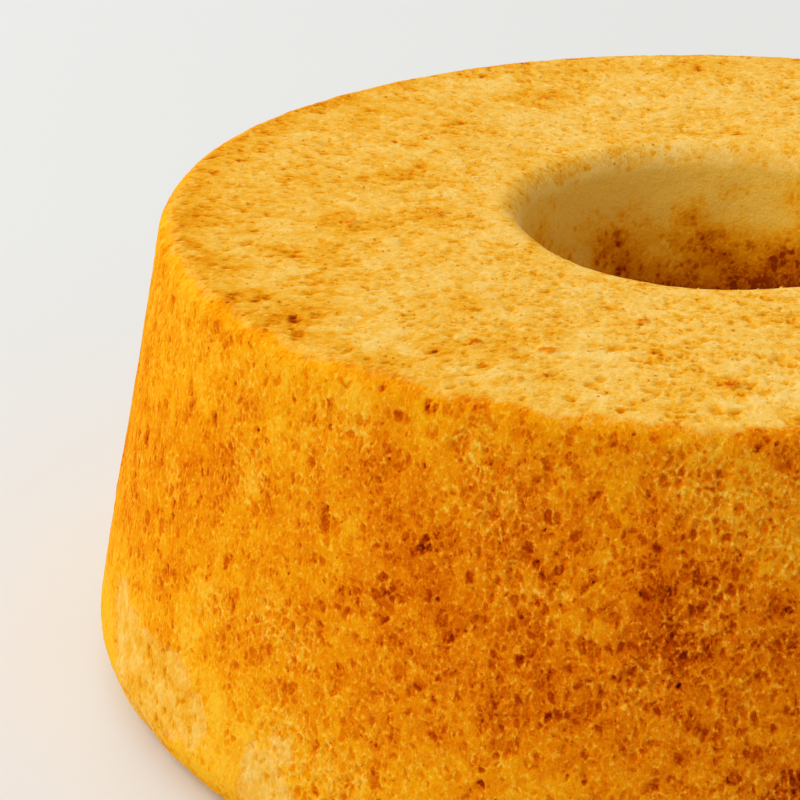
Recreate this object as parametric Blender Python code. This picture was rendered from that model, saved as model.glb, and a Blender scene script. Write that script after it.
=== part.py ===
"""A chiffon cake: one airy sponge ring, turned out of its tube tin and standing upside down.

The ring is a turned profile. Its wall leans inwards as it rises, because a tin is narrower at
its floor, which is now on top. The tin's floor leaves a crisp rim, and the risen crumb, which
is now underneath, leaves a soft round edge. The sponge is then made a little uneven, as a cake
is that was eased out of its tin by hand.
"""

from math import atan2, cos, hypot, pi, radians, sin, tan

import bmesh
import bpy
from mathutils import Vector

# Driving dimensions, in metres. The tin is a 17 cm one. Its wall's straight line would meet the
# board at FOOT_RADIUS, and the rounded lower edge brings the widest part in to about 85 mm.
FOOT_RADIUS = 0.0861
TOP_RADIUS = 0.0746
HEIGHT = 0.0618
HOLE_TOP_RADIUS = 0.0272
HOLE_BASE_RADIUS = 0.0234

# How round each edge of the section is, in metres.
RIM_ROUNDING = 0.0026
LOWER_EDGE_ROUNDING = 0.0062
HOLE_RIM_ROUNDING = 0.0038
HOLE_FOOT_ROUNDING = 0.0024

# How far the sponge wanders from the tin's true shape, in metres.
OUTER_WALL_WANDER = 0.0007
HOLE_WALL_WANDER = 0.0006
TOP_WANDER = 0.0005

# How finely the ring is cut: steps round it, in each rounded edge, up a wall and across a face.
TURN_STEPS = 112
EDGE_STEPS = 4
WALL_STEPS = 7
FACE_STEPS = 5

SHADE_SHARP_ANGLE = radians(50)
CRUST_COLOUR = (0.72, 0.30, 0.035, 1.0)
CRUST_ROUGHNESS = 0.9


def clear_scene():
    """Remove whatever the file holds."""
    for item in list(bpy.data.objects):
        bpy.data.objects.remove(item, do_unlink=True)


def rounded_corner(corner, before, after, rounding):
    """The arc that rounds one corner of the section, in order from before to after."""
    to_before = (before - corner).normalized()
    to_after = (after - corner).normalized()
    half_angle = to_before.angle(to_after) / 2
    centre = corner + (to_before + to_after).normalized() * (rounding / sin(half_angle))
    reach = rounding / tan(half_angle)
    first_spoke = corner + to_before * reach - centre
    last_spoke = corner + to_after * reach - centre
    return [centre + first_spoke.slerp(last_spoke, step / EDGE_STEPS).normalized() * rounding
            for step in range(EDGE_STEPS + 1)]


def ring_section():
    """The closed section as (radius, 0, height) points, from the rim down the outer wall."""
    corners = [
        (Vector((TOP_RADIUS, 0, HEIGHT)), RIM_ROUNDING, WALL_STEPS),
        (Vector((FOOT_RADIUS, 0, 0)), LOWER_EDGE_ROUNDING, FACE_STEPS),
        (Vector((HOLE_BASE_RADIUS, 0, 0)), HOLE_FOOT_ROUNDING, WALL_STEPS),
        (Vector((HOLE_TOP_RADIUS, 0, HEIGHT)), HOLE_RIM_ROUNDING, FACE_STEPS),
    ]
    arcs = []
    for index, (corner, rounding, _) in enumerate(corners):
        before = corners[index - 1][0]
        after = corners[(index + 1) % len(corners)][0]
        arcs.append(rounded_corner(corner, before, after, rounding))
    section = []
    for index, arc in enumerate(arcs):
        section.extend(arc)
        run_steps = corners[index][2]
        run_end = arcs[(index + 1) % len(arcs)][0]
        section.extend(arc[-1].lerp(run_end, step / run_steps) for step in range(1, run_steps))
    return section


def wander(turn, along, phase):
    """A slow waviness between -1 and 1, round the ring and along its section."""
    return (0.42 * sin(2 * turn + phase)
            + 0.27 * sin(3 * turn + 55 * along + 2 * phase)
            + 0.19 * sin(5 * turn - 90 * along - phase)
            + 0.12 * sin(9 * turn + 140 * along + 3 * phase))


def ease_out_of_tin(ring):
    """Let the walls and the top of a turned ring wander, and leave its underside flat."""
    middle_radius = (TOP_RADIUS + HOLE_TOP_RADIUS) / 2
    for vert in ring.verts:
        radius = hypot(vert.co.x, vert.co.y)
        turn = atan2(vert.co.y, vert.co.x)
        height = vert.co.z
        wall_share = min(1.0, height / LOWER_EDGE_ROUNDING)
        if radius > middle_radius:
            wall_share *= min(1.0, (radius - middle_radius) / (TOP_RADIUS - middle_radius))
            radius += OUTER_WALL_WANDER * wall_share * wander(turn, height, 0.4)
        else:
            wall_share *= (middle_radius - radius) / (middle_radius - HOLE_BASE_RADIUS)
            radius += HOLE_WALL_WANDER * wall_share * wander(turn, height, 2.2)
        top_share = (height / HEIGHT) ** 4
        height += TOP_WANDER * top_share * wander(turn, radius, 1.1)
        vert.co = (radius * cos(turn), radius * sin(turn), height)


def centre_on_axis(ring):
    """Shift the ring sideways until its box is centred on the upright axis."""
    xs = [vert.co.x for vert in ring.verts]
    ys = [vert.co.y for vert in ring.verts]
    shift = Vector((-(min(xs) + max(xs)) / 2, -(min(ys) + max(ys)) / 2, 0))
    bmesh.ops.translate(ring, verts=ring.verts, vec=shift)


def crust_material():
    """Matt golden-brown crust."""
    material = bpy.data.materials.new("golden_crust")
    material.use_nodes = True
    shader = material.node_tree.nodes["Principled BSDF"]
    shader.inputs["Base Color"].default_value = CRUST_COLOUR
    shader.inputs["Roughness"].default_value = CRUST_ROUGHNESS
    shader.inputs["Metallic"].default_value = 0.0
    material.diffuse_color = CRUST_COLOUR
    return material


def make_cake():
    """The sponge ring, standing on its flat underside at height 0."""
    ring = bmesh.new()
    loop = [ring.verts.new(point) for point in ring_section()]
    edges = [ring.edges.new((loop[index - 1], loop[index])) for index in range(len(loop))]
    bmesh.ops.spin(ring, geom=loop + edges, cent=(0, 0, 0), axis=(0, 0, 1),
                   angle=2 * pi, steps=TURN_STEPS, use_merge=True)
    ease_out_of_tin(ring)
    centre_on_axis(ring)
    bmesh.ops.recalc_face_normals(ring, faces=ring.faces)
    mesh = bpy.data.meshes.new("cake")
    ring.to_mesh(mesh)
    ring.free()
    mesh.shade_smooth()
    mesh.set_sharp_from_angle(angle=SHADE_SHARP_ANGLE)
    mesh.materials.append(crust_material())
    cake = bpy.data.objects.new("cake", mesh)
    bpy.context.collection.objects.link(cake)
    return cake


clear_scene()
make_cake()
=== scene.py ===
from math import cos, pi, radians, sin, tan

import bpy
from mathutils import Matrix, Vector


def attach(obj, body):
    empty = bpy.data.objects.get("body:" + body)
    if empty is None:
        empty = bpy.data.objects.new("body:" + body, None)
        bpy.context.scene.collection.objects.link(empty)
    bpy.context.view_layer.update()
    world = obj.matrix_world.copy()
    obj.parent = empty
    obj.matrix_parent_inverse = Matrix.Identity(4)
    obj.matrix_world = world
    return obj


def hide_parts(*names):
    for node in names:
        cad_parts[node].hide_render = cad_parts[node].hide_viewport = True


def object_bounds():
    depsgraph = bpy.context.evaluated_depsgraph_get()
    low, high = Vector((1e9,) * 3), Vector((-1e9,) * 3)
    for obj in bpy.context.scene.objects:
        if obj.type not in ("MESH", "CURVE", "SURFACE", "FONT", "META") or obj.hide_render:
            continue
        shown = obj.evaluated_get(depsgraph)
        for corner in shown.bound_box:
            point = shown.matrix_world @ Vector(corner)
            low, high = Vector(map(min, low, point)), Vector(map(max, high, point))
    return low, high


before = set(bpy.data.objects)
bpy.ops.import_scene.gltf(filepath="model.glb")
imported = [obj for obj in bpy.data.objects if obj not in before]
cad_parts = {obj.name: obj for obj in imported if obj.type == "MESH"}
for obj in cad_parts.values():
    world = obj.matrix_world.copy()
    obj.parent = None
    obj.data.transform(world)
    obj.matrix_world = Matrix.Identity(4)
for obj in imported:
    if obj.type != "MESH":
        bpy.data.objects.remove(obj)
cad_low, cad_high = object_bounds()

# ---- The sponge ring's section ----
# A chiffon cake is baked in a 17 cm tube tin, hung upside down to cool and eased out by hand.
# It stands on its risen side, so the tin's narrow floor shaped the top and its tube the hole.
FOOT_RADIUS = 0.0861
TOP_RADIUS = 0.0746
HOLE_TOP_RADIUS = 0.0272
HOLE_BASE_RADIUS = 0.0234
RIM_ROUNDING = 0.0026
LOWER_EDGE_ROUNDING = 0.0062
HOLE_RIM_ROUNDING = 0.0038
HOLE_FOOT_ROUNDING = 0.0024
HEIGHT = 0.0618
ARC_STEPS = 24

cad_foot = [vert.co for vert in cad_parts["cake"].data.vertices
            if vert.co.z < cad_low.z + 0.00001]
ring_axis = Vector((
    (min(co.x for co in cad_foot) + max(co.x for co in cad_foot)) / 2,
    (min(co.y for co in cad_foot) + max(co.y for co in cad_foot)) / 2,
    cad_low.z,
))


def rounded_corner(corner, before, after, rounding):
    """The arc that rounds one corner of the section."""
    to_before = (before - corner).normalized()
    to_after = (after - corner).normalized()
    half_angle = to_before.angle(to_after) / 2
    centre = corner + (to_before + to_after).normalized() * (rounding / sin(half_angle))
    reach = rounding / tan(half_angle)
    first_spoke = corner + to_before * reach - centre
    last_spoke = corner + to_after * reach - centre
    return [centre + first_spoke.slerp(last_spoke, step / ARC_STEPS).normalized() * rounding
            for step in range(ARC_STEPS + 1)]


section_corners = [
    (Vector((HOLE_TOP_RADIUS, 0, HEIGHT)), HOLE_RIM_ROUNDING),
    (Vector((TOP_RADIUS, 0, HEIGHT)), RIM_ROUNDING),
    (Vector((FOOT_RADIUS, 0, 0)), LOWER_EDGE_ROUNDING),
    (Vector((HOLE_BASE_RADIUS, 0, 0)), HOLE_FOOT_ROUNDING),
]
section_points = []
corner_starts = []
for index, (corner, rounding) in enumerate(section_corners):
    before = section_corners[index - 1][0]
    after = section_corners[(index + 1) % len(section_corners)][0]
    corner_starts.append(len(section_points))
    section_points.extend(rounded_corner(corner, before, after, rounding))
section_points.append(section_points[0])
lengths = [0.0]
for first, second in zip(section_points, section_points[1:]):
    lengths.append(lengths[-1] + (second - first).length)
# Places along the section, from the top of the hole's wall outwards and down the outer wall.
hole_rim_end = lengths[corner_starts[0] + ARC_STEPS]
rim_start = lengths[corner_starts[1]]
lower_edge_end = lengths[corner_starts[2] + ARC_STEPS]
hole_foot_start = lengths[corner_starts[3]]
section_end = lengths[-1]

section_curve = bpy.data.curves.new("section", "CURVE")
section_curve.dimensions = "3D"
spline = section_curve.splines.new("POLY")
spline.points.add(len(section_points) - 1)
for point, place in zip(spline.points, section_points):
    point.co = (*place, 1)
section = bpy.data.objects.new("section", section_curve)
bpy.context.collection.objects.link(section)


# ---- The sponge's foam ----
# Sponge is foam: bubbles of many sizes in beaten egg, with thin walls that tear. The same bubbles
# shape the surface in the geometry tree and colour it in the material, so both read them here.
class Amount:
    """A number that varies over the cake. Sums written with it become Math nodes."""

    def __init__(self, recipe, socket):
        self.recipe = recipe
        self.socket = socket

    def __add__(self, other):
        return self.recipe.maths("ADD", self, other)

    def __radd__(self, other):
        return self.recipe.maths("ADD", other, self)

    def __sub__(self, other):
        return self.recipe.maths("SUBTRACT", self, other)

    def __rsub__(self, other):
        return self.recipe.maths("SUBTRACT", other, self)

    def __mul__(self, other):
        return self.recipe.maths("MULTIPLY", self, other)

    def __rmul__(self, other):
        return self.recipe.maths("MULTIPLY", other, self)

    def __truediv__(self, other):
        return self.recipe.maths("DIVIDE", self, other)


class Recipe:
    """Writes the nodes of one tree, a geometry tree or a material. Lengths are millimetres."""

    def __init__(self, tree):
        self.tree = tree

    def node(self, kind, **settings):
        """Adds one node to the tree."""
        made = self.tree.nodes.new(kind)
        for name, value in settings.items():
            setattr(made, name, value)
        return made

    def feed(self, socket, value):
        """Links a node's output to the socket, or sets the socket to a plain value."""
        value = getattr(value, "socket", value)
        if isinstance(value, bpy.types.NodeSocket):
            self.tree.links.new(value, socket)
        else:
            socket.default_value = value

    def maths(self, operation, *values):
        """One Math node on these values."""
        made = self.node("ShaderNodeMath", operation=operation)
        for socket, value in zip(made.inputs, values):
            self.feed(socket, value)
        return Amount(self, made.outputs[0])

    def vector(self, operation, first, second=None, scale=None):
        """One Vector Math node that gives a vector."""
        made = self.node("ShaderNodeVectorMath", operation=operation)
        self.feed(made.inputs[0], first)
        if second is not None:
            self.feed(made.inputs[1], second)
        if scale is not None:
            self.feed(made.inputs["Scale"], scale)
        return made.outputs["Vector"]

    def distance(self, first, second):
        """How far apart two places are."""
        made = self.node("ShaderNodeVectorMath", operation="DISTANCE")
        self.feed(made.inputs[0], first)
        self.feed(made.inputs[1], second)
        return Amount(self, made.outputs["Value"])

    def point(self, x, y, z):
        """The place with these three coordinates."""
        made = self.node("ShaderNodeCombineXYZ")
        for socket, value in zip(made.inputs, (x, y, z)):
            self.feed(socket, value)
        return made.outputs[0]

    def parts(self, vector):
        """The three coordinates of a place."""
        made = self.node("ShaderNodeSeparateXYZ")
        self.feed(made.inputs[0], vector)
        return [Amount(self, socket) for socket in made.outputs]

    def ease(self, value, low, high, start=0.0, end=1.0):
        """Goes smoothly from start to end as the value goes from low to high."""
        made = self.node("ShaderNodeMapRange", interpolation_type="SMOOTHSTEP")
        for socket, given in zip(made.inputs, (value, low, high, start, end)):
            self.feed(socket, given)
        return Amount(self, made.outputs[0])

    def most(self, *values):
        """The largest of some amounts."""
        top = values[0]
        for value in values[1:]:
            top = self.maths("MAXIMUM", top, value)
        return top

    def least(self, *values):
        """The smallest of some amounts."""
        low = values[0]
        for value in values[1:]:
            low = self.maths("MINIMUM", low, value)
        return low

    def mix(self, share, first, second):
        """The first amount where the share is 0, and the second where it is 1."""
        made = self.node("ShaderNodeMix", data_type="FLOAT")
        self.feed(made.inputs[0], share)
        self.feed(made.inputs[2], first)
        self.feed(made.inputs[3], second)
        return Amount(self, made.outputs[0])

    def noise(self, place, size, detail=2.0, roughness=0.5):
        """Soft unevenness from about -1 to 1, whose lumps are about size across."""
        made = self.node("ShaderNodeTexNoise", noise_dimensions="3D")
        self.feed(made.inputs["Vector"], place)
        self.feed(made.inputs["Scale"], 1 / size)
        self.feed(made.inputs["Detail"], detail)
        self.feed(made.inputs["Roughness"], roughness)
        return self.maths("MULTIPLY_ADD", made.outputs[0], 2.0, -1.0)

    def random(self, low, high, seed):
        """A random amount from low to high, another for each point."""
        made = self.node("FunctionNodeRandomValue", data_type="FLOAT")
        for socket, value in zip(made.inputs[2:4], (low, high)):
            self.feed(socket, value)
        self.feed(made.inputs["Seed"], seed)
        return Amount(self, made.outputs[1])

    def keep(self, shape, name, value, kind, domain):
        """Keeps a value on the shape under a name, and gives the shape with it."""
        store = self.node("GeometryNodeStoreNamedAttribute", data_type=kind, domain=domain)
        self.feed(store.inputs["Geometry"], shape)
        self.feed(store.inputs["Name"], name)
        self.feed(store.inputs["Value"], value)
        return store.outputs["Geometry"]

    def kept(self, name, kind):
        """Reads what an earlier step kept on the shape under this name."""
        attribute = self.node("GeometryNodeInputNamedAttribute", data_type=kind)
        self.feed(attribute.inputs["Name"], name)
        return attribute.outputs[0]

    def stirred(self, place, size, reach):
        """The place pushed about by up to reach, so that a pattern drawn on it isn't regular."""
        made = self.node("ShaderNodeTexNoise", noise_dimensions="3D")
        self.feed(made.inputs["Vector"], place)
        self.feed(made.inputs["Scale"], 1 / size)
        self.feed(made.inputs["Detail"], 1.0)
        away = self.vector("SUBTRACT", made.outputs["Color"], (0.5, 0.5, 0.5))
        return self.vector("ADD", place, self.vector("SCALE", away, scale=2 * reach))

    def bubbles(self, place, spacing, smallest, largest, share):
        """Round cavities about spacing apart, in a share of the places. Gives how far inside
        one a place lies, 1 at its middle and 0 at its edge, and its own luck from 0 to 1."""
        cells = self.node("ShaderNodeTexVoronoi", voronoi_dimensions="3D", feature="F1")
        self.feed(cells.inputs["Vector"], place)
        self.feed(cells.inputs["Scale"], 1 / spacing)
        luck, size_luck, _ = self.parts(cells.outputs["Color"])
        reach = self.mix(size_luck * size_luck, smallest, largest) / spacing
        inside = self.maths("SUBTRACT", 1.0, Amount(self, cells.outputs["Distance"]) / reach)
        inside = self.most(inside, 0.0) * self.maths("LESS_THAN", luck, share)
        return inside, self.least(luck / share, 1.0)

    def foam(self, place, spacing, wall):
        """Bubbles that touch, about spacing apart. Gives how far a place is inside one, from 0 on
        a wall to 1, and two lucks of the bubble's own."""
        own = self.node("ShaderNodeTexVoronoi", voronoi_dimensions="3D", feature="F1")
        edges = self.node("ShaderNodeTexVoronoi", voronoi_dimensions="3D",
                          feature="DISTANCE_TO_EDGE")
        for cells in (own, edges):
            self.feed(cells.inputs["Vector"], place)
            self.feed(cells.inputs["Scale"], 1 / spacing)
        gap = Amount(self, edges.outputs["Distance"]) * spacing
        luck, tint, _ = self.parts(own.outputs["Color"])
        return self.ease(gap, 0.0, wall), luck, tint

    def lucky(self, luck, share):
        """1 for the share of bubbles that are lucky, easing to 0 for those that just miss it."""
        return self.ease(luck, share - 0.2, share, 1.0, 0.0)


def crooked(recipe, place):
    """The place pushed about a little, so that no bubble drawn on it is quite round."""
    bent = recipe.stirred(place, size=1.5, reach=0.5)
    return recipe.stirred(bent, size=0.45, reach=0.16)


def coarse_foam(recipe, uneven):
    """The largest bubbles that touch."""
    return recipe.foam(uneven, spacing=1.7, wall=0.45)


def fine_foam(recipe, uneven):
    """The bubbles about a millimetre wide, which the relief and the colours share."""
    return recipe.foam(uneven, spacing=1.0, wall=0.3)


def scorched_bubbles(recipe, uneven):
    """Small deep bubbles of the crust, scorched brown inside."""
    inside, luck = recipe.bubbles(uneven, spacing=1.8, smallest=0.18, largest=0.46, share=0.6)
    return recipe.ease(inside, 0.0, 0.35), luck


def filmed_bubbles(recipe, uneven):
    """Broad shallow bubbles that a thin film closes."""
    inside, luck = recipe.bubbles(uneven, spacing=2.2, smallest=0.4, largest=0.95, share=0.7)
    return recipe.ease(inside, 0.02, 0.12), luck


def pinholes(recipe, uneven):
    """The finest bubbles, too small for the relief."""
    inside, luck = recipe.bubbles(uneven, spacing=0.5, smallest=0.15, largest=0.32, share=0.8)
    return recipe.ease(inside, 0.0, 0.5), luck


# ---- Where the crust came off, and where it burnt ----
# Skin that stuck to the tin was pulled away in patches and left pale crumb. Scraps of skin
# stayed on the top, which has golden blotches and small dents. The wall is airier in some places
# and browner in others, and a few of its bubbles burnt. Each mark has its place in degrees round
# the ring and in millimetres up the wall, or out from the middle of the top, and then its reach.
TORN_PATCHES = [
    (203, 15, 3.6), (207, 11, 6.0), (212, 9, 7.5), (217, 12, 5.5), (221, 11, 3.6),
    (231, 9, 4.0), (234, 5, 4.5), (233, 14, 1.6), (250, 5, 3.0),
    (296, 4, 5.0), (302, 7, 5.5), (309, 4, 4.0), (345, 3, 4.5), (10, 4, 5.0), (17, 8, 5.5),
    (23, 5, 4.5), (28, 12, 2.2), (98, 3, 4.0), (104, 6, 5.5), (111, 10, 5.0), (116, 5, 4.0),
    (160, 3, 5.0), (166, 5, 4.0), (52, 22, 1.8), (71, 40, 1.8), (132, 33, 1.5),
]
AIRY_PATCHES = [
    (222, 27, 3.5), (230, 29, 3.0), (234, 27, 2.6), (219, 21, 3.0), (233, 14, 5.0),
    (239, 13, 4.0), (265, 32, 3.0), (258, 41, 1.6), (249, 57, 3.0), (252, 50, 3.0),
    (254, 42, 2.5), (272, 54, 6.0), (269, 57, 4.5), (277, 50, 5.0), (270, 40, 4.0),
    (225, 45, 3.0), (236, 57, 3.5), (212, 38, 3.0), (285, 40, 6.0), (300, 30, 7.0),
    (330, 25, 6.0), (10, 40, 8.0), (50, 30, 7.0), (80, 45, 8.0), (110, 30, 7.0), (140, 45, 7.0),
    (165, 30, 6.0), (185, 45, 6.0),
]
BROWN_PATCHES = [
    (269, 41, 8), (216, 42, 7), (245, 40, 6), (241, 50, 6), (258, 30, 5), (280, 22, 6), (291, 48, 7),
    (315, 35, 8), (345, 48, 8), (12, 28, 8), (42, 42, 9), (75, 25, 8), (102, 45, 8),
    (130, 22, 7), (155, 38, 8), (183, 28, 7),
]
BURNT_BUBBLES = [
    (245.3, 45.0, 0.75), (245.7, 44.2, 0.6), (244.9, 43.6, 0.6), (246.4, 44.0, 0.5),
    (239.2, 60.9, 0.6), (244.0, 60.6, 0.8), (244.9, 60.2, 0.6), (273.5, 59.5, 0.5),
    (262.0, 50.0, 0.5), (20.0, 40.0, 0.8), (95.0, 30.0, 0.9), (331.0, 36.0, 0.7),
    (160.0, 51.0, 0.8), (118.0, 44.0, 0.6), (300.0, 52.0, 0.7),
]
TOP_SCRAPS = [
    (240.7, 58.5, 0.9), (249.1, 56.6, 1.1), (250.2, 66.3, 0.6), (251.7, 63.5, 0.5),
    (271.6, 60.5, 1.3), (246.1, 59.0, 0.8), (237.7, 62.0, 0.7), (221.5, 69.8, 0.9),
    (194.1, 50.4, 1.1), (191.8, 38.3, 1.0), (192.7, 72.6, 0.9), (257.5, 42.3, 0.9),
    (120, 55, 1.2), (95, 66, 1.0), (60, 48, 1.1), (20, 64, 1.4), (335, 52, 1.1), (300, 64, 0.9),
]
GOLDEN_BLOTCHES = [
    (246, 60, 3.6), (254, 46, 1.8), (251, 47, 1.8), (248, 49, 1.8), (252, 41, 2.4),
    (232, 50, 3.0), (190, 70, 3.5), (205, 69, 3.5), (213, 70, 3.0), (229, 70, 2.5), (236, 69, 2.5),
    (221, 66, 4.5), (194, 50, 4.5), (192, 38, 4.5), (205, 58, 4.0), (238, 62, 3.0),
    (271, 61, 2.4), (262, 53, 2.0), (283, 57, 3.0), (120, 55, 5.0), (95, 66, 4.5), (60, 48, 5.0),
    (20, 64, 5.5), (335, 52, 5.0), (300, 64, 4.0), (150, 62, 4.0), (170, 45, 3.5),
]
TOP_DENTS = [
    (226.8, 63.9, 1.6), (262, 47, 1.0), (278, 52, 1.2), (241, 52, 1.1), (271.5, 58.3, 0.9),
    (205, 45, 1.4), (160, 60, 1.6), (110, 45, 1.5), (70, 58, 1.8), (30, 45, 1.4), (345, 66, 1.6),
    (310, 48, 1.3),
]


def on_wall(degrees, height):
    """A place on the outer wall, in millimetres."""
    radius = 1000 * FOOT_RADIUS + (TOP_RADIUS - FOOT_RADIUS) * height / HEIGHT
    return Vector((radius * cos(radians(degrees)), radius * sin(radians(degrees)), height))


def on_top(degrees, radius):
    """A place on the top, in millimetres."""
    return Vector((radius * cos(radians(degrees)), radius * sin(radians(degrees)), HEIGHT * 1000))


def depth_in_marks(recipe, place, marks, locate):
    """How far the place lies inside the nearest of some round marks, in millimetres."""
    depths = [reach - recipe.distance(place, locate(degrees, off))
              for degrees, off, reach in marks]
    return recipe.most(*depths)


# ---- The crumb relief ----
# The sponge's surface is open: bubbles broke at the skin, and crumb tore where the skin came off.
# One geometry tree turns a stretch of the section into a closed band of sponge, lets it wander
# as the ring does, and sinks bubbles and torn crumb into its outer face. All is in millimetres.
OUTER_WALL_WANDER = 0.7
HOLE_WALL_WANDER = 0.6
TOP_WANDER = 0.5
OUTER_WALL_PHASE = 0.4
HOLE_WALL_PHASE = 2.2
TOP_PHASE = 1.1
TORN_DEPTH = 0.16
SCRAP_THICKNESS = 0.3
BURNT_DEPTH = 0.2
DENT_DEPTH = 0.45
FILM_DEPTH = 0.05
UNDERSIDE_DEPTH = 0.4
BROWNEST_HEIGHT = 35.0
PALE_FOOT_TOP = 26.0
INNER_ROWS = 4


def add_inputs(tree, kinds):
    """Adds the tree's named inputs, and its one output."""
    tree.interface.new_socket("Geometry", in_out="OUTPUT", socket_type="NodeSocketGeometry")
    for name, kind in kinds.items():
        tree.interface.new_socket(name, in_out="INPUT", socket_type="NodeSocket" + kind)


def wander(recipe, turn, along, phase):
    """The slow waviness that the ring's solid has too."""
    waves = [(0.42, 2, 0.0, 1), (0.27, 3, 0.055, 2), (0.19, 5, -0.090, -1), (0.12, 9, 0.140, 3)]
    total = 0.0
    for height, times, climb, shift in waves:
        angle = turn * times + along * climb + shift * phase
        total = recipe.maths("SINE", angle) * height + total
    return total


def build_sponge_tree():
    """The geometry tree that makes one band of sponge."""
    tree = bpy.data.node_groups.new("sponge_band", "GeometryNodeTree")
    add_inputs(tree, {"Section": "Object", "From": "Float", "To": "Float", "Columns": "Int",
                      "Rows": "Int", "Thickness": "Float", "Axis": "Vector", "Strips": "Int",
                      "Material": "Material"})
    recipe = Recipe(tree)
    given = recipe.node("NodeGroupInput").outputs

    # A flat grid, one column more than the ring has, which is then bent round and welded.
    rows = Amount(recipe, given["Rows"])
    all_rows = rows + INNER_ROWS
    columns = Amount(recipe, given["Columns"])
    grid = recipe.node("GeometryNodeMeshGrid")
    recipe.feed(grid.inputs["Vertices X"], columns + 1)
    recipe.feed(grid.inputs["Vertices Y"], all_rows + 1)
    grid_x, grid_y, _ = recipe.parts(recipe.node("GeometryNodeInputPosition").outputs[0])
    turn = (grid_x + 0.5) * (-2 * pi)
    row = (grid_y + 0.5) * all_rows
    is_outer = recipe.maths("LESS_THAN", row, rows + 0.25)
    is_closing = recipe.maths("GREATER_THAN", row, all_rows - 0.25)
    is_skin = recipe.most(is_outer, is_closing)
    back_share = (row - rows - 1) / (INNER_ROWS - 2)
    back_share = recipe.least(recipe.most(back_share, 0.0), 1.0)
    share = recipe.mix(is_outer, 1 - back_share, row / rows)
    along = recipe.mix(share, given["From"], given["To"])

    # The section at that place: radius, height and the way outwards, in millimetres.
    source = recipe.node("GeometryNodeObjectInfo")
    recipe.feed(source.inputs["Object"], given["Section"])
    sample = recipe.node("GeometryNodeSampleCurve", mode="LENGTH", use_all_curves=True)
    recipe.feed(sample.inputs["Curves"], source.outputs["Geometry"])
    recipe.feed(sample.inputs["Length"], along * 0.001)
    radius, _, height = recipe.parts(recipe.vector("SCALE", sample.outputs["Position"],
                                                   scale=1000.0))
    run_out, _, run_up = recipe.parts(sample.outputs["Tangent"])

    # The slow wander of the ring.
    middle = (TOP_RADIUS + HOLE_TOP_RADIUS) * 500
    foot_share = recipe.least(height / (LOWER_EDGE_ROUNDING * 1000), 1.0)
    outer_share = recipe.least((radius - middle) / (TOP_RADIUS * 1000 - middle), 1.0)
    hole_share = (middle - radius) / (middle - HOLE_BASE_RADIUS * 1000)
    outer_push = foot_share * outer_share * wander(recipe, turn, height, OUTER_WALL_PHASE)
    hole_push = foot_share * hole_share * wander(recipe, turn, height, HOLE_WALL_PHASE)
    is_out = recipe.maths("GREATER_THAN", radius, middle)
    push = recipe.mix(is_out, hole_push * HOLE_WALL_WANDER, outer_push * OUTER_WALL_WANDER)
    radius = radius + push
    top_share = recipe.maths("POWER", height / (HEIGHT * 1000), 4.0)
    height = height + top_share * wander(recipe, turn, radius, TOP_PHASE) * TOP_WANDER
    turn_x = recipe.maths("COSINE", turn)
    turn_y = recipe.maths("SINE", turn)
    smooth = recipe.point(radius * turn_x, radius * turn_y, height)
    place_x, place_y, _ = recipe.parts(smooth)
    outwards = recipe.point(-1.0 * run_up * turn_x, -1.0 * run_up * turn_y, run_out)

    # The foam near the outer wall is drawn out, because the batter climbed the tin as it rose.
    pull = recipe.ease(radius, HOLE_TOP_RADIUS * 1000, TOP_RADIUS * 1000 - 2.0, 1.0, 0.72)
    pulled = middle + (radius - middle) * pull
    upright = recipe.point(pulled * turn_x, pulled * turn_y, (height - HEIGHT * 1000) * pull)

    # Where the skin is: on the walls and the underside, and in scraps on the top.
    frayed = recipe.noise(upright, 0.55, 1.0, 0.6)
    ragged = recipe.noise(smooth, 2.4, 3.0, 0.65)
    mottled = recipe.noise(upright, 3.4, 3.0, 0.62)
    coarse = recipe.noise(upright, 9.0, 2.0)
    patchy = recipe.noise(upright, 22.0, 2.0)
    rim = rim_start * 1000
    outside = recipe.ease(along + ragged * 2.6 + coarse * 2.0 + frayed * 1.3, rim, rim + 1.3)
    hole_foot = hole_foot_start * 1000
    tube = recipe.ease(along + ragged * 1.5, hole_foot + 0.5, hole_foot + 2.5)
    depth = HEIGHT * 1000 - height
    at_hole_top = recipe.maths("LESS_THAN", along, 10.0)
    tube = recipe.most(tube, recipe.ease(depth + ragged * 1.2, 0.6, 4.6) * at_hole_top)
    underside = recipe.ease(along, lower_edge_end * 1000 - 3.0, lower_edge_end * 1000 + 1.0)
    underside = underside * (1 - tube)
    wall = outside * (1 - tube)
    torn = depth_in_marks(recipe, smooth, TORN_PATCHES, on_wall)
    torn = recipe.ease(torn + ragged * 2.8 + coarse + frayed * 0.8, -0.8, 1.0)
    torn = torn * (1 - underside) * wall
    scraps = depth_in_marks(recipe, smooth, TOP_SCRAPS, on_top) + ragged * 2.2 + frayed * 0.5
    scraps = recipe.ease(scraps, -0.1, 0.5) * (1 - wall)
    blotches = depth_in_marks(recipe, smooth, GOLDEN_BLOTCHES, on_top) + ragged * 4.0
    blotches = recipe.ease(blotches, -1.5, 1.5) * (1 - wall)
    skin = recipe.most(wall * (1 - torn), scraps * 0.9)
    bare = 1 - skin
    burnt = depth_in_marks(recipe, smooth, BURNT_BUBBLES, on_wall) + ragged * 0.8 + frayed * 0.9
    burnt = recipe.ease(burnt, 0.1, 0.4)

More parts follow.
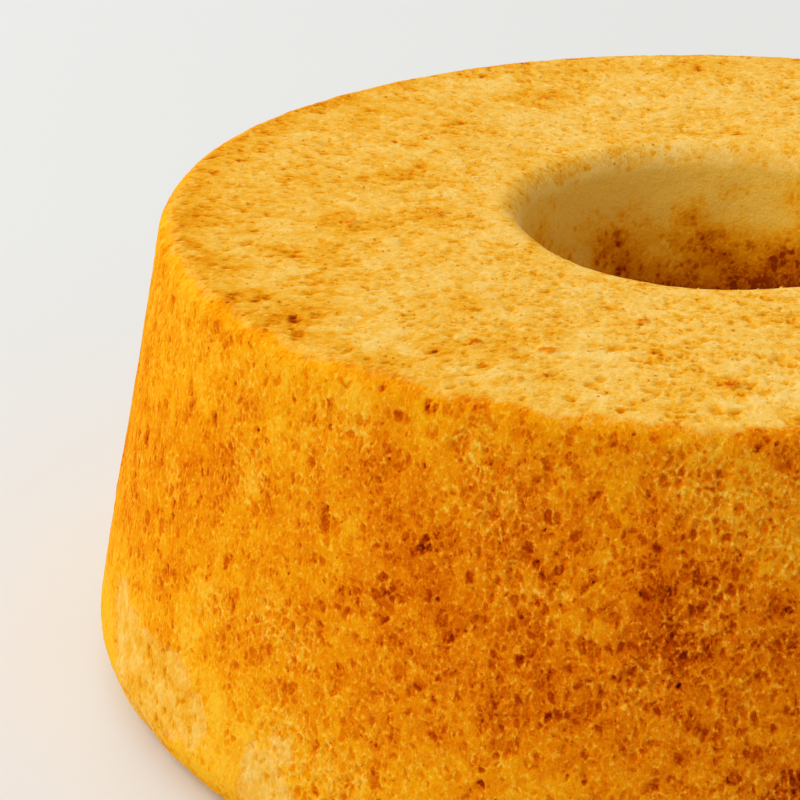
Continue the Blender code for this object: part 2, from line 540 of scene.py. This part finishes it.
    # The foam: bubbles of two sizes, more of them open towards one side and in airy patches, a
    # few scorched ones, and broad ones that a film closes.
    front_right = recipe.ease(place_x * 0.7 - place_y * 0.7, -30.0, 80.0)
    airy_patches = depth_in_marks(recipe, smooth, AIRY_PATCHES, on_wall) + ragged * 2.5
    airy_patches = recipe.ease(airy_patches, -1.5, 1.5) * wall
    close_grained = recipe.ease(along, rim + 1.0, rim + 9.0, 0.25, 0.0) * wall
    airy = 0.30 + front_right * 0.25 + coarse * 0.45 + airy_patches * 0.4 - torn * 0.2
    airy = airy - close_grained
    airy = recipe.least(recipe.most(airy, 0.0), 1.0)
    uneven = crooked(recipe, upright)
    large, large_luck, large_tint = coarse_foam(recipe, uneven)
    small, small_luck, small_tint = fine_foam(recipe, uneven)
    large_holes = large * recipe.lucky(large_luck, airy * 0.7)
    small_holes = small * recipe.lucky(small_luck, airy + 0.15)
    scorched, scorched_luck = scorched_bubbles(recipe, uneven)
    films, _ = filmed_bubbles(recipe, uneven)

    # The relief, in millimetres above the smooth ring.
    at_hole_rim = recipe.ease(recipe.maths("ABSOLUTE", radius - HOLE_TOP_RADIUS * 1000), 3.0, 8.0)
    rough = (1 + bare * 0.2) * (0.15 + at_hole_rim * 0.85)
    relief = recipe.noise(smooth, 4.5, 2.0) * 0.16
    relief = relief + (0.5 - small_tint) * small * bare * rough * 0.20
    fine_relief = recipe.noise(smooth, 1.3, 3.0, 0.6) * 0.07 + frayed * 0.08
    fine_relief = fine_relief - large_holes * (0.09 + airy * 0.18)
    fine_relief = fine_relief - small_holes * (0.08 + airy * 0.12)
    relief = relief + fine_relief * rough
    relief = relief - scorched * (0.05 + scorched_luck * 0.2) * wall - films * wall * FILM_DEPTH
    dents = depth_in_marks(recipe, smooth, TOP_DENTS, on_top) + ragged * 1.2
    dents = recipe.ease(dents, -0.6, 1.4)
    relief = relief - torn * TORN_DEPTH + scraps * SCRAP_THICKNESS
    relief = relief - burnt * BURNT_DEPTH - dents * DENT_DEPTH
    relief = recipe.mix(underside, relief, recipe.least(relief - UNDERSIDE_DEPTH, 0.0))

    # How brown the skin is, from 0 for pale yellow over 0.5 for orange to 1.3 for burnt.
    to_left = recipe.ease(place_x, -15.0, -70.0)
    from_belt = recipe.maths("ABSOLUTE", height - BROWNEST_HEIGHT)
    belt = recipe.ease(from_belt, 6.0, 26.0, 1.0, 0.0)
    skin_tone = 0.18 + front_right * 0.26 * (1 - tube) + belt * 0.12 + underside * 0.18
    brown_patches = depth_in_marks(recipe, smooth, BROWN_PATCHES, on_wall) + ragged * 4.0
    brown_patches = recipe.ease(brown_patches, -3.0, 4.0)
    skin_tone = skin_tone + patchy * 0.12 + coarse * 0.18 + mottled * 0.22 + brown_patches * 0.13
    low = recipe.ease(height + coarse * 5.0, 6.0, PALE_FOOT_TOP, 1.0, 0.0) * (1 - underside)
    skin_tone = skin_tone + scraps * 0.2 - to_left * 0.04
    skin_tone = skin_tone - low * (0.13 + to_left * 0.06)

    # How golden the bare crumb is, on the top and down the hole's wall. Part of it is painted light
    # and shade: down the hole the wall darkens with depth and is paler on its shaded left, and the
    # fine relief's hollows are darker and its bumps paler.
    blotchy = recipe.ease(recipe.noise(smooth, 2.6, 2.0, 0.6), 0.0, 0.45)
    left = to_left * (1 - wall)
    at_rim = recipe.ease(along + ragged * 3.0 + coarse * 3.0, rim - 7.0, rim + 1.0)
    at_rim = at_rim * (1 - wall) * (1 - tube)
    crumb_tone = 0.30 + patchy * 0.17 + coarse * 0.22 + mottled * 0.22 * (1 - tube * 0.7)
    crumb_tone = crumb_tone + blotches * 0.18 + at_rim * (0.10 + left * 0.16)
    # Painted shade: the hole's wall darkens with depth, standing in for the light that fails deep in
    # the hole.
    deep = recipe.ease(depth + coarse * 10.0 + patchy * 5.0, 2.0, 23.0) * tube
    # Painted light: the left of the hole's wall, which lies in shade, is made paler.
    hole_left_light = recipe.ease(place_x, 10.0, -25.0) * tube
    # The hole's wall is also paler overall, partly its own moist crumb and partly painted light.
    crumb_tone = crumb_tone + left * 0.10 + torn * 0.08 + deep * 1.30 - tube * 0.26
    crumb_tone = crumb_tone - hole_left_light * 0.38
    crumb_tone = crumb_tone + blotchy * 0.24 + dents * 0.15
    # Painted shade: hollows of the fine relief are darker and its bumps paler, standing in for light
    # scattered in the crumb.
    crumb_tone = crumb_tone - fine_relief * 1.3 - 0.08
    browning_shade_and_light = recipe.mix(skin, crumb_tone, skin_tone)
    # Open large bubbles are darker, partly browned and partly painted shade in the cavity.
    browning_shade_and_light = browning_shade_and_light + (large_holes * 0.10 + (large_tint - 0.5) * 0.16) * (1 - tube * 0.9)
    browning_shade_and_light = browning_shade_and_light + burnt * 0.5 - airy_patches * 0.12

    # The band, bent into place.
    sunk = recipe.mix(is_skin, Amount(recipe, given["Thickness"]) * -1.0, relief)
    place = recipe.vector("ADD", smooth, recipe.vector("SCALE", outwards, scale=sunk))
    place = recipe.vector("SCALE", place, scale=0.001)
    place = recipe.vector("ADD", place, given["Axis"])

    # What the material needs is kept on the mesh. The brown tone among it also holds painted shade
    # and light.
    shape = recipe.keep(grid.outputs["Mesh"], "rest", upright, "FLOAT_VECTOR", "POINT")
    for name, value in (("skin", skin), ("browning_shade_and_light", browning_shade_and_light), ("airy", airy), ("tube", tube)):
        shape = recipe.keep(shape, name, value, "FLOAT", "POINT")

    # A bake map: the ring's stretches laid under each other, the hidden inner face squeezed.
    strips = Amount(recipe, given["Strips"])
    map_u, map_v, _ = recipe.parts(grid.outputs["UV Map"])
    whole_face = recipe.node("GeometryNodeFieldOnDomain", data_type="FLOAT", domain="FACE")
    recipe.feed(whole_face.inputs[0], map_u * strips)
    strip = recipe.maths("FLOOR", Amount(recipe, whole_face.outputs[0]))
    map_row = map_v * all_rows
    squeezed = recipe.mix(recipe.maths("LESS_THAN", map_row, rows + 0.25),
                          0.95 + (map_row - rows) / INNER_ROWS * 0.03, map_row / rows * 0.95)
    flat_map = recipe.point((map_u * strips - strip) * 0.98 + 0.01,
                            (strip + 0.01 + squeezed) / strips, 0.0)
    shape = recipe.keep(shape, "OFBake", flat_map, "FLOAT2", "CORNER")

    # The edges between the outer and the inner face stay sharp, so shading doesn't run over.
    to_first = recipe.maths("LESS_THAN", row, 0.25)
    to_last = recipe.maths("COMPARE", row, rows, 0.25)
    on_edge = recipe.node("GeometryNodeFieldOnDomain", data_type="FLOAT", domain="EDGE")
    recipe.feed(on_edge.inputs[0], recipe.most(to_first, recipe.most(is_closing, to_last)))
    sharp = recipe.maths("GREATER_THAN", Amount(recipe, on_edge.outputs[0]), 0.9)
    shape = recipe.keep(shape, "sharp_edge", sharp, "BOOLEAN", "EDGE")

    bend = recipe.node("GeometryNodeSetPosition")
    recipe.feed(bend.inputs["Geometry"], shape)
    recipe.feed(bend.inputs["Position"], place)
    weld = recipe.node("GeometryNodeMergeByDistance")
    recipe.feed(weld.inputs["Geometry"], bend.outputs[0])
    recipe.feed(weld.inputs["Distance"], 0.000002)
    smooth_faces = recipe.node("GeometryNodeSetShadeSmooth")
    recipe.feed(smooth_faces.inputs["Geometry"], weld.outputs[0])
    realize = recipe.node("GeometryNodeRealizeInstances")
    recipe.feed(realize.inputs[0], smooth_faces.outputs[0])
    paint = recipe.node("GeometryNodeSetMaterial")
    recipe.feed(paint.inputs["Geometry"], realize.outputs[0])
    recipe.feed(paint.inputs["Material"], given["Material"])
    out = recipe.node("NodeGroupOutput")
    recipe.feed(out.inputs[0], paint.outputs[0])
    return tree


def plain_mesh(name, tree, **inputs):
    """Runs a geometry tree with the given inputs and keeps its result as a plain mesh."""
    piece = bpy.data.objects.new(name, bpy.data.meshes.new(name))
    bpy.context.collection.objects.link(piece)
    modifier = piece.modifiers.new(name, "NODES")
    modifier.node_group = tree
    sockets = {item.name: item.identifier for item in tree.interface.items_tree
               if item.in_out == "INPUT"}
    for input_name, value in inputs.items():
        modifier[sockets[input_name]] = value
    graph = bpy.context.evaluated_depsgraph_get()
    mesh = bpy.data.meshes.new_from_object(piece.evaluated_get(graph), depsgraph=graph)
    mesh.name = name
    piece.modifiers.remove(modifier)
    piece.data = mesh
    return piece


# ---- Baked sponge, the material ----
# Egg sponge browns as its sugar does. Skin goes from yellow over orange to the brown of deep
# pores, partly painted shade, and the black of burnt bubbles, and bare crumb from cream over
# golden to brown.
MOST_BROWN = 1.3
BUMP_HEIGHT = 0.00012
SKIN_BROWNING = [
    (0.00, (0.93, 0.49, 0.018)),
    (0.25, (0.90, 0.350, 0.0012)),
    (0.50, (0.79, 0.203, 0.0006)),
    (0.70, (0.62, 0.108, 0.0004)),
    (0.85, (0.44, 0.052, 0.0002)),
    (1.05, (0.28, 0.020, 0.0002)),
    (1.30, (0.04, 0.008, 0.0010)),
]
CRUMB_BROWNING = [
    (0.00, (0.93, 0.635, 0.19)),
    (0.30, (0.90, 0.515, 0.080)),
    (0.55, (0.86, 0.41, 0.022)),
    (0.80, (0.79, 0.29, 0.003)),
    (1.05, (0.62, 0.15, 0.0006)),
    (1.30, (0.30, 0.04, 0.0005)),
]
# The wall of the hole steams more than it bakes, and stays a moist gold at its top. Its scale is
# also paler as painted light, for light that passes through the sponge into the hole; its darkening
# with depth is painted shade.
TUBE_BROWNING = [
    (0.00, (0.99, 0.645, 0.090)),
    (0.30, (0.98, 0.54, 0.032)),
    (0.55, (0.93, 0.41, 0.007)),
    (0.80, (0.78, 0.28, 0.002)),
    (1.05, (0.60, 0.15, 0.0006)),
    (1.30, (0.30, 0.04, 0.0005)),
]


def colour_scale(recipe, amount, stops):
    """The colour of sponge that is this brown, from 0 to MOST_BROWN."""
    scale = recipe.node("ShaderNodeValToRGB")
    elements = scale.color_ramp.elements
    while len(elements) < len(stops):
        elements.new(0.5)
    for element, (position, colour) in zip(elements, stops):
        element.position = position / MOST_BROWN
        element.color = (*colour, 1)
    recipe.feed(scale.inputs[0], amount / MOST_BROWN)
    return scale.outputs["Color"]


def colour_mix(recipe, share, first, second):
    """The first colour where the share is 0, and the second where it is 1."""
    made = recipe.node("ShaderNodeMix", data_type="RGBA")
    recipe.feed(made.inputs[0], share)
    recipe.feed(made.inputs[6], first)
    recipe.feed(made.inputs[7], second)
    return made.outputs[2]


def build_sponge_material():
    """The one material of the whole sponge."""
    material = bpy.data.materials.new("baked_sponge")
    material.use_nodes = True
    shader = material.node_tree.nodes["Principled BSDF"]
    shader.inputs["Roughness"].default_value = 0.95
    shader.inputs["Specular IOR Level"].default_value = 0.01
    recipe = Recipe(material.node_tree)
    place = recipe.node("ShaderNodeAttribute", attribute_name="rest").outputs["Vector"]
    skin, browning_shade_and_light, airy, tube = [
        Amount(recipe, recipe.node("ShaderNodeAttribute", attribute_name=name).outputs["Fac"])
        for name in ("skin", "browning_shade_and_light", "airy", "tube")]

    # Open bubbles and pinholes are darker inside, partly browned and partly painted shade in the
    # cavity, and thin walls between them are paler.
    uneven = crooked(recipe, place)
    inside, luck, tint = fine_foam(recipe, uneven)
    holes = inside * recipe.lucky(luck, airy + 0.2) * (0.08 + tint * 0.16) * (0.8 + skin * 0.2)
    pits, pit_luck = pinholes(recipe, uneven)
    pits = pits * pit_luck * (0.3 + pit_luck * 0.7)
    specks = recipe.ease(recipe.noise(place, 0.55, 2.0, 0.65), 0.0, 0.45)
    grain = recipe.noise(place, 0.3, 2.0, 0.75)
    lace = (1 - inside) * (0.25 + specks * 1.1)
    skin = skin * (1 - recipe.least(lace * airy * 0.4, 0.4))
    tone = browning_shade_and_light + 0.06 + holes + (tint - 0.5) * (0.18 - skin * 0.10)
    tone = tone - lace * (0.03 + airy * (0.10 + skin * 0.08))
    tone = tone + pits * (0.26 - skin * 0.02) * (1 - tube * 0.8) - specks * (0.14 + skin * 0.06)
    tone = tone + grain * (0.16 + skin * 0.06 + airy * 0.14)
    scorched, scorched_luck = scorched_bubbles(recipe, uneven)
    tone = tone + scorched * skin * (0.14 + scorched_luck * 0.30)
    films, film_luck = filmed_bubbles(recipe, uneven)
    tone = tone + films * (0.04 + skin * 0.04 + film_luck * 0.16) * (1 - tube)
    on_ring = colour_mix(recipe, skin, colour_scale(recipe, tone, CRUMB_BROWNING),
                         colour_scale(recipe, tone, SKIN_BROWNING))
    recipe.feed(shader.inputs["Base Color"],
                colour_mix(recipe, tube, on_ring, colour_scale(recipe, tone, TUBE_BROWNING)))

    # Crumb too fine for the mesh is a bump.
    bump = recipe.node("ShaderNodeBump")
    bump.inputs["Strength"].default_value = 0.5
    bump.inputs["Distance"].default_value = BUMP_HEIGHT
    recipe.feed(bump.inputs["Height"], recipe.noise(place, 0.45, 2.0, 0.7))
    recipe.feed(shader.inputs["Normal"], bump.outputs[0])
    return material


# ---- The bands of the sponge ----
# The cake is one sponge. It is made here as rings that meet edge to edge, so that no mesh grows
# too large: two rings of top crumb, six of side crust, the underside and the hole's wall.
CRUST_OVER_RIM = 0.0025
TOP_INNER_SHARE = 0.46
SIDE_RINGS = 6
BAND_THICKNESS = 3.0
MAP_STRIPS = 6
sponge_tree = build_sponge_tree()
baked_sponge = build_sponge_material()
crust_start = rim_start - CRUST_OVER_RIM
top_middle = hole_rim_end + TOP_INNER_SHARE * (crust_start - hole_rim_end)


def sponge_band(name, start, end, rows, columns):
    """One band of the sponge, between two places along the section."""
    piece = plain_mesh(name, sponge_tree, Section=section, From=start * 1000, To=end * 1000,
                       Columns=columns, Rows=rows, Thickness=BAND_THICKNESS, Axis=ring_axis,
                       Strips=MAP_STRIPS, Material=baked_sponge)
    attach(piece, "root")
    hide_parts("cake")
    return piece


top_crumb = [sponge_band("top_crumb_inner", 0.0, top_middle, rows=88, columns=1056),
             sponge_band("top_crumb_outer", top_middle, crust_start, rows=72, columns=1296)]
side_length = lower_edge_end - crust_start
for ring in range(SIDE_RINGS):
    sponge_band(f"side_crust_{ring + 1}",
                crust_start + side_length * ring / SIDE_RINGS,
                crust_start + side_length * (ring + 1) / SIDE_RINGS, rows=42, columns=2048)
sponge_band("underside_crust", lower_edge_end, hole_foot_start, rows=65, columns=768)
sponge_band("tube_wall", hole_foot_start, section_end, rows=140, columns=640)
bpy.data.objects.remove(section)


# ---- Loose crumbs ----
# Where the skin came off with the tin, the torn top is rough with crumbs up to a millimetre
# across. They still cling to it by one side, so each one is sunk a little into the top.
CRUMBS_PER_MM2 = 0.36
SMALLEST_CRUMB = 0.13
CRUMB_GROWTH = 0.25
CRUMB_MAP_CELLS = 72


def build_crumb_tree():
    """The geometry tree that strews crumbs over a mesh, where it faces up."""
    tree = bpy.data.node_groups.new("loose_crumbs", "GeometryNodeTree")
    add_inputs(tree, {"Ground": "Object", "Density": "Float", "Seed": "Int",
                      "Material": "Material"})
    recipe = Recipe(tree)
    given = recipe.node("NodeGroupInput").outputs
    source = recipe.node("GeometryNodeObjectInfo")
    recipe.feed(source.inputs["Object"], given["Ground"])
    way_up = recipe.parts(recipe.node("GeometryNodeInputNormal").outputs[0])[2]
    strewn = recipe.node("GeometryNodeDistributePointsOnFaces")
    recipe.feed(strewn.inputs["Mesh"], source.outputs["Geometry"])
    recipe.feed(strewn.inputs["Selection"], recipe.maths("GREATER_THAN", way_up, 0.5))
    recipe.feed(strewn.inputs["Density"], Amount(recipe, given["Density"]) * 1e6)
    recipe.feed(strewn.inputs["Seed"], given["Seed"])

    # Many small ones and few large ones, each its own shape and brownness.
    growth = recipe.random(0.0, 1.0, 4)
    size = SMALLEST_CRUMB + growth * growth * growth * CRUMB_GROWTH
    sink = recipe.vector("SCALE", strewn.outputs["Normal"],
                         scale=size * recipe.random(-0.0008, -0.0003, 3))
    sunk = recipe.node("GeometryNodeSetPosition")
    recipe.feed(sunk.inputs["Geometry"], strewn.outputs["Points"])
    recipe.feed(sunk.inputs["Offset"], sink)
    crumb = recipe.node("GeometryNodeMeshIcoSphere")
    crumb.inputs["Radius"].default_value = 0.001
    crumb.inputs["Subdivisions"].default_value = 1
    one_crumb = recipe.keep(crumb.outputs["Mesh"], "OFBake", crumb.outputs["UV Map"], "FLOAT2",
                            "CORNER")
    placed = recipe.node("GeometryNodeInstanceOnPoints")
    recipe.feed(placed.inputs["Points"], sunk.outputs[0])
    recipe.feed(placed.inputs["Instance"], one_crumb)
    recipe.feed(placed.inputs["Rotation"],
                recipe.point(*[recipe.random(0.0, 2 * pi, seed) for seed in (5, 6, 7)]))
    recipe.feed(placed.inputs["Scale"],
                recipe.point(*[size * recipe.random(0.6, 1.3, seed) for seed in (8, 9, 10)]))
    browning_shade_and_light = Amount(recipe, recipe.kept("browning_shade_and_light", "FLOAT")) * 0.7
    browning_shade_and_light = browning_shade_and_light + recipe.random(0.1, 0.4, 11)
    own_number = recipe.node("GeometryNodeInputIndex").outputs[0]
    shape = recipe.keep(placed.outputs[0], "browning_shade_and_light", browning_shade_and_light, "FLOAT", "INSTANCE")
    shape = recipe.keep(shape, "crumb", own_number, "FLOAT", "INSTANCE")
    realize = recipe.node("GeometryNodeRealizeInstances")
    recipe.feed(realize.inputs[0], shape)

    # Each crumb, now real, is pushed out of round and reads its own place in the pattern.
    place = recipe.vector("SCALE", recipe.node("GeometryNodeInputPosition").outputs[0],
                          scale=1000.0)
    bent = recipe.node("GeometryNodeSetPosition")
    recipe.feed(bent.inputs["Geometry"], realize.outputs[0])
    away = recipe.vector("SUBTRACT", recipe.stirred(place, size=0.4, reach=0.05), place)
    recipe.feed(bent.inputs["Offset"], recipe.vector("SCALE", away, scale=0.001))

    # A bake map: each crumb's small map in a square of its own.
    whole_face = recipe.node("GeometryNodeFieldOnDomain", data_type="FLOAT", domain="FACE")
    recipe.feed(whole_face.inputs[0], recipe.kept("crumb", "FLOAT"))
    number = recipe.maths("ROUND", Amount(recipe, whole_face.outputs[0]))
    map_u, map_v, _ = recipe.parts(recipe.kept("OFBake", "FLOAT_VECTOR"))
    map_column = recipe.maths("MODULO", number, CRUMB_MAP_CELLS)
    map_row = recipe.maths("FLOOR", number / CRUMB_MAP_CELLS)
    flat_map = recipe.point((map_column + 0.05 + map_u * 0.9) / CRUMB_MAP_CELLS,
                            (map_row + 0.05 + map_v * 0.9) / CRUMB_MAP_CELLS, 0.0)
    shape = recipe.keep(bent.outputs[0], "OFBake", flat_map, "FLOAT2", "CORNER")
    shape = recipe.keep(shape, "rest", place, "FLOAT_VECTOR", "POINT")
    smooth_faces = recipe.node("GeometryNodeSetShadeSmooth")
    recipe.feed(smooth_faces.inputs["Geometry"], shape)
    paint = recipe.node("GeometryNodeSetMaterial")
    recipe.feed(paint.inputs["Geometry"], smooth_faces.outputs[0])
    recipe.feed(paint.inputs["Material"], given["Material"])
    out = recipe.node("NodeGroupOutput")
    recipe.feed(out.inputs[0], paint.outputs[0])
    return tree


crumb_tree = build_crumb_tree()
for ring, ground in enumerate(top_crumb):
    piece = plain_mesh(f"loose_crumbs_{ring + 1}", crumb_tree, Ground=ground, Seed=ring,
                       Density=CRUMBS_PER_MM2, Material=baked_sponge)
    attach(piece, "root")
    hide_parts("cake")


# ---- The table, the light and the camera ----
# A plain pale table top under a big soft window on the left, a weaker one at the back and pale
# light from all round. The camera looks down on the cake from close by.
TABLE_REACH = 3.0
TABLE_LEVEL = -0.0003
table_corners = [(side * TABLE_REACH, back * TABLE_REACH, TABLE_LEVEL)
                 for side, back in ((-1, -1), (1, -1), (1, 1), (-1, 1))]
floor_mesh = bpy.data.meshes.new("table")
floor_mesh.from_pydata(table_corners, [], [(0, 1, 2, 3)])
floor = bpy.data.objects.new("table", floor_mesh)
bpy.context.collection.objects.link(floor)
table_paint = bpy.data.materials.new("table_paint")
table_paint.use_nodes = True
table_shader = table_paint.node_tree.nodes["Principled BSDF"]
table_shader.inputs["Base Color"].default_value = (0.775, 0.79, 0.79, 1)
table_shader.inputs["Roughness"].default_value = 0.6
table_shader.inputs["Specular IOR Level"].default_value = 0.1
floor_mesh.materials.append(table_paint)

world = bpy.data.worlds.new("room")
world.use_nodes = True
room = world.node_tree.nodes["Background"]
room.inputs["Color"].default_value = (1.0, 0.985, 0.95, 1)
room.inputs["Strength"].default_value = 0.55
bpy.context.scene.world = world


def soft_light(name, degrees, height_degrees, distance, width, energy, colour):
    """A square light that faces the cake."""
    data = bpy.data.lights.new(name, "AREA")
    data.size = width
    data.energy = energy
    data.color = colour
    lamp = bpy.data.objects.new(name, data)
    around = radians(degrees)
    up = radians(height_degrees)
    lamp.location = (distance * cos(up) * cos(around), distance * cos(up) * sin(around),
                     distance * sin(up))
    lamp.rotation_euler = lamp.location.to_track_quat("Z", "Y").to_euler()
    bpy.context.collection.objects.link(lamp)


soft_light("window", degrees=202, height_degrees=45, distance=2.4, width=1.9, energy=32.5,
           colour=(1.0, 0.98, 0.94))
soft_light("far window", degrees=120, height_degrees=40, distance=2.2, width=1.6, energy=12.5,
           colour=(0.97, 0.985, 1.0))

CAMERA_DISTANCE = 0.4254
CAMERA_HEIGHT_DEGREES = 27.1
CAMERA_TILT_UP = 4.1
CAMERA_TURNED_LEFT = 6.57
CAMERA_LENS = 134.6
camera_data = bpy.data.cameras.new("camera")
camera_data.lens = CAMERA_LENS
camera_data.sensor_width = 36
camera_data.clip_start = 0.01
camera = bpy.data.objects.new("camera", camera_data)
rise = radians(CAMERA_HEIGHT_DEGREES)
camera.location = ring_axis + Vector((0, -cos(rise), sin(rise))) * CAMERA_DISTANCE
camera.rotation_euler = (radians(90 - CAMERA_HEIGHT_DEGREES + CAMERA_TILT_UP), 0,
                         radians(CAMERA_TURNED_LEFT))
bpy.context.collection.objects.link(camera)
bpy.context.scene.camera = camera
bpy.context.scene.view_settings.view_transform = "Standard"
